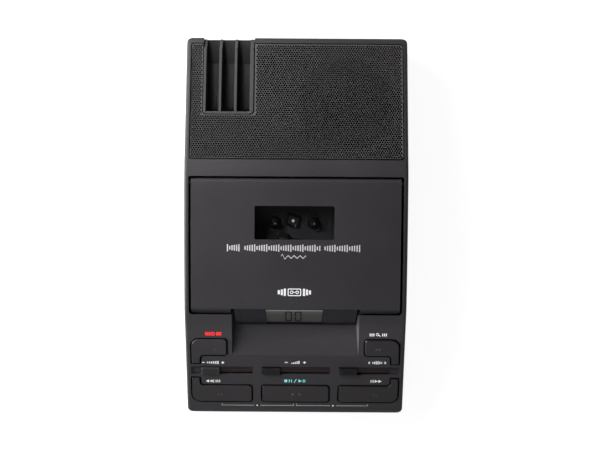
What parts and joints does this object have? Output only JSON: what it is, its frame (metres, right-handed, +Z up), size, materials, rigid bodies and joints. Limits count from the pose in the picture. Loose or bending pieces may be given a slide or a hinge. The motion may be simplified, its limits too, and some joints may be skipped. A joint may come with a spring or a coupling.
{
  "type": "dictation transcription machine",
  "caption": "Desktop transcription machine for mini cassettes: wedge housing, hinged tape lid, display trough, wide keys, slider row, speaker grille and cassette rack.",
  "frame": {"origin": "centre of the footprint, on the plane the rubber feet stand on", "axes": "+Z up, +Y towards the rear (grille end), +X to the right of a person at the keys"},
  "size_m": [0.152, 0.2619, 0.0657],
  "materials": {
    "housing_plastic": "fine spark-eroded charcoal",
    "black_plastic": "satin black",
    "key_plastic": "smooth dark grey",
    "grille_sheet": "matt dark grey, perforated",
    "smoked_plastic": "polished, smoked",
    "lcd_glass": "greenish grey",
    "steel": "plated",
    "circuit_board": "solder resist",
    "rubber": "matt black",
    "speaker_paper": "pressed paper",
    "ferrite": "ground",
    "brass": "turned",
    "nylon": "moulded"
  },
  "bodies": {
    "housing": {"top_cover": "housing_plastic", "base_shell": "housing_plastic", "cassette_rack": "black_plastic", "deck_bezel": "black_plastic", "speed_fader": "black_plastic", "volume_fader": "black_plastic", "tone_fader": "black_plastic", "power_switch": "black_plastic", "search_switch": "black_plastic", "rewind_switch": "black_plastic", "stop_play_switch": "black_plastic", "wind_switch": "black_plastic", "headphone_socket": "black_plastic", "foot_control_socket": "black_plastic", "dc_socket": "black_plastic", "speaker_grille": "grille_sheet", "display_lens": "smoked_plastic", "lcd_panel": "lcd_glass", "deck_plate": "steel", "drive_axle": "steel", "drive_motor": "steel", "motor_bracket": "steel", "speaker_frame": "steel", "hinge_pin_left": "steel", "hinge_pin_right": "steel", "case_screw_front_left": "steel", "case_screw_front_right": "steel", "case_screw_rear_left": "steel", "case_screw_rear_right": "steel", "control_board": "circuit_board", "main_board": "circuit_board", "foot_front_left": "rubber", "foot_front_right": "rubber", "foot_rear_left": "rubber", "foot_rear_right": "rubber", "drive_belt": "rubber", "speaker_cone": "speaker_paper", "speaker_magnet": "ferrite"},
    "lid": {"cassette_lid": "housing_plastic", "lid_window": "smoked_plastic", "cassette_spring_left": "steel", "cassette_spring_right": "steel"},
    "supply_reel": {"supply_hub": "black_plastic"},
    "takeup_reel": {"takeup_hub": "black_plastic"},
    "drive": {"drive_wheel": "nylon"},
    "motor_rotor": {"motor_pulley": "brass"},
    "idler_swing_arm": {"idler_arm": "steel"},
    "idler": {"idler_wheel": "rubber"},
    "head": {"head_carriage": "steel", "playback_head": "steel"},
    "power_key": {"power_button": "key_plastic"},
    "search_key": {"search_button": "key_plastic"},
    "rewind_key": {"rewind_button": "key_plastic"},
    "stop_play_key": {"stop_play_button": "key_plastic"},
    "wind_key": {"wind_button": "key_plastic"},
    "speed_slider": {"speed_knob": "black_plastic"},
    "volume_slider": {"volume_knob": "black_plastic"},
    "tone_slider": {"tone_knob": "black_plastic"}
  },
  "joints": [
    {"name": "lid_hinge", "type": "hinge", "parent": "housing", "child": "lid", "pos_m": [0, 0.0306, 0.0626], "axis": [-1, 0, 0], "range_deg": [0, 75]},
    {"name": "supply_spin", "type": "hinge", "parent": "housing", "child": "supply_reel", "pos_m": [-0.0142, 0.00388, 0.04375], "axis": [0, -0.1039, 0.9946], "continuous": true},
    {"name": "takeup_spin", "type": "hinge", "parent": "housing", "child": "takeup_reel", "pos_m": [0.0126, 0.00388, 0.04375], "axis": [0, -0.1039, 0.9946], "continuous": true},
    {"name": "drive_spin", "type": "hinge", "parent": "housing", "child": "drive", "pos_m": [-0.0008, 0.0183, 0.04525], "axis": [0, -0.1039, 0.9946], "continuous": true},
    {"name": "motor_spin", "type": "hinge", "parent": "housing", "child": "motor_rotor", "pos_m": [0.037, -0.00236, 0.03706], "axis": [0, -0.1039, 0.9946], "continuous": true},
    {"name": "idler_swing", "type": "hinge", "parent": "housing", "child": "idler_swing_arm", "pos_m": [-0.0008, 0.01865, 0.04187], "axis": [0, -0.1039, 0.9946], "range_deg": [0, 10]},
    {"name": "idler_spin", "type": "hinge", "parent": "idler_swing_arm", "child": "idler", "pos_m": [-0.00198, 0.00555, 0.04272], "axis": [0, -0.1039, 0.9946], "continuous": true},
    {"name": "head_slide", "type": "slide", "parent": "housing", "child": "head", "axis": [0, -0.9946, -0.1039], "range_m": [0, 0.003]},
    {"name": "power_press", "type": "slide", "parent": "housing", "child": "power_key", "axis": [0, 0.3907, -0.9205], "range_m": [0, 0.0012]},
    {"name": "search_press", "type": "slide", "parent": "housing", "child": "search_key", "axis": [0, 0.3907, -0.9205], "range_m": [0, 0.0012]},
    {"name": "rewind_press", "type": "slide", "parent": "housing", "child": "rewind_key", "axis": [0, 0.3907, -0.9205], "range_m": [0, 0.0012]},
    {"name": "stop_play_press", "type": "slide", "parent": "housing", "child": "stop_play_key", "axis": [0, 0.3907, -0.9205], "range_m": [0, 0.0012]},
    {"name": "wind_press", "type": "slide", "parent": "housing", "child": "wind_key", "axis": [0, 0.3907, -0.9205], "range_m": [0, 0.0012]},
    {"name": "speed_slide", "type": "slide", "parent": "housing", "child": "speed_slider", "axis": [1, 0, 0], "range_m": [0, 0.0224]},
    {"name": "volume_slide", "type": "slide", "parent": "housing", "child": "volume_slider", "axis": [1, 0, 0], "range_m": [0, 0.0344]},
    {"name": "tone_slide", "type": "slide", "parent": "housing", "child": "tone_slider", "axis": [1, 0, 0], "range_m": [0, 0.0224]}
  ],
  "couplings": [
    {"joint": "motor_spin", "follows": "drive_spin", "ratio": 4},
    {"joint": "idler_spin", "follows": "drive_spin", "ratio": -3.2833}
  ]
}
